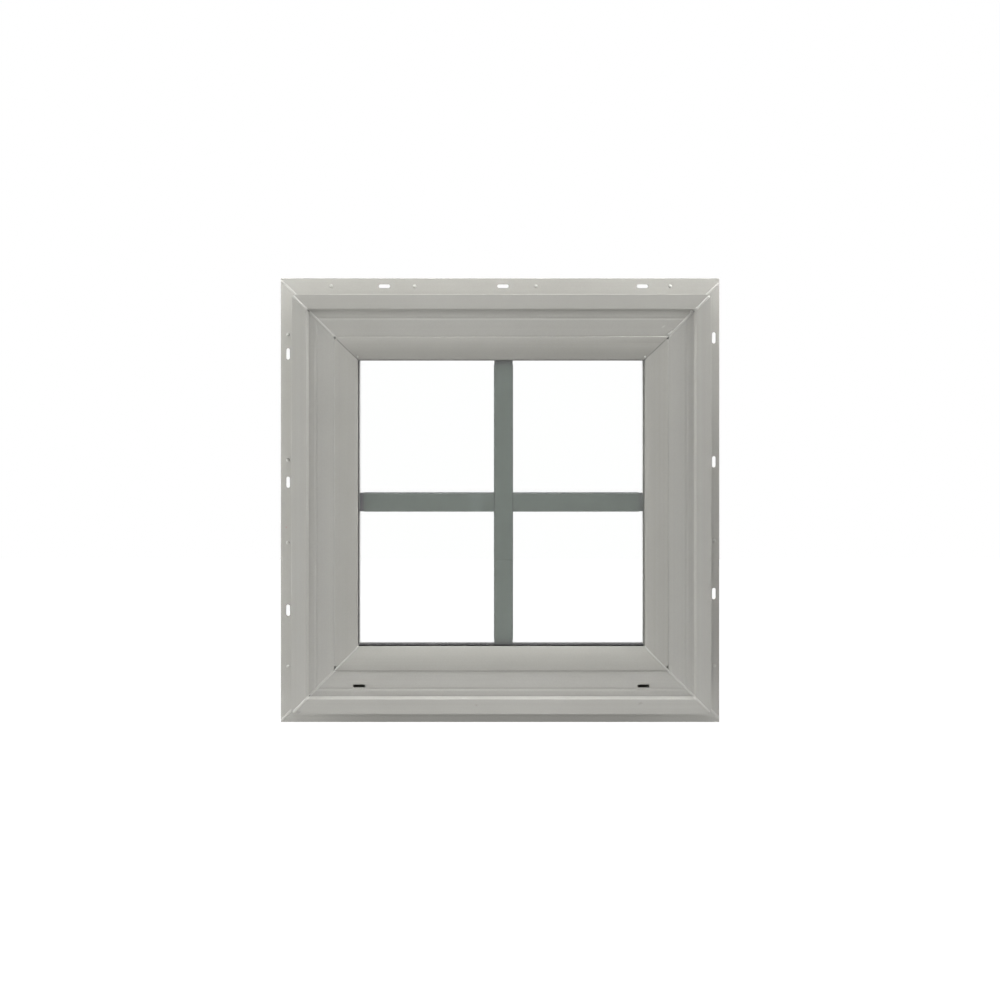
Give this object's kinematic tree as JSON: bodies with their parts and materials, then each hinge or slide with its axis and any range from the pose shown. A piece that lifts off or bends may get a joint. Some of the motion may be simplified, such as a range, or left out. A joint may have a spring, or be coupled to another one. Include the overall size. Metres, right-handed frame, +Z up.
{
  "type": "fixed window with nailing fins and a grille between the glass",
  "caption": "Square fixed vinyl window: hollow mitred frame with nailing fins and siding lip, bowed glazing beads, sealed double pane and a flat crossed grille between the glass.",
  "frame": {"origin": "On the wall-side face of the sill's nailing fin, midway across the window and 12 mm below the frame body's underside.", "axes": "+Y from the outdoors towards the room, square to the fins; +X to the right seen from outdoors; +Z up."},
  "size_m": [0.4696, 0.0635, 0.4754],
  "materials": {
    "vinyl_frame": "satin greige vinyl",
    "vinyl_bead": "satin greige vinyl",
    "spacer_dark": "dark grey",
    "sealant": "matt black",
    "gasket": "matt dark grey",
    "foam_tape": "pale grey closed-cell foam",
    "clear_glass": "clear float glass",
    "setting_block": "matt black",
    "grille_paint": "satin grey-green paint",
    "clip_plastic": "dark plastic"
  },
  "bodies": {
    "root": {"frame_head": "vinyl_frame", "frame_jamb_right": "vinyl_frame", "frame_sill": "vinyl_frame", "frame_jamb_left": "vinyl_frame", "glazing_bead_head": "vinyl_bead", "glazing_bead_jamb_right": "vinyl_bead", "glazing_bead_sill": "vinyl_bead", "glazing_bead_jamb_left": "vinyl_bead", "spacer_head": "spacer_dark", "edge_seal_head": "sealant", "glazing_gasket_head": "gasket", "glazing_tape_head": "foam_tape", "spacer_jamb_right": "spacer_dark", "edge_seal_jamb_right": "sealant", "glazing_gasket_jamb_right": "gasket", "glazing_tape_jamb_right": "foam_tape", "spacer_sill": "spacer_dark", "edge_seal_sill": "sealant", "glazing_gasket_sill": "gasket", "glazing_tape_sill": "foam_tape", "spacer_jamb_left": "spacer_dark", "edge_seal_jamb_left": "sealant", "glazing_gasket_jamb_left": "gasket", "glazing_tape_jamb_left": "foam_tape", "glass_pane_outer": "clear_glass", "glass_pane_inner": "clear_glass", "setting_block_left": "setting_block", "setting_block_right": "setting_block", "grille_bar_vertical": "grille_paint", "grille_bar_left": "grille_paint", "grille_bar_right": "grille_paint", "grille_clip_top": "clip_plastic", "grille_clip_bottom": "clip_plastic", "grille_clip_left": "clip_plastic", "grille_clip_right": "clip_plastic"}
  },
  "joints": []
}
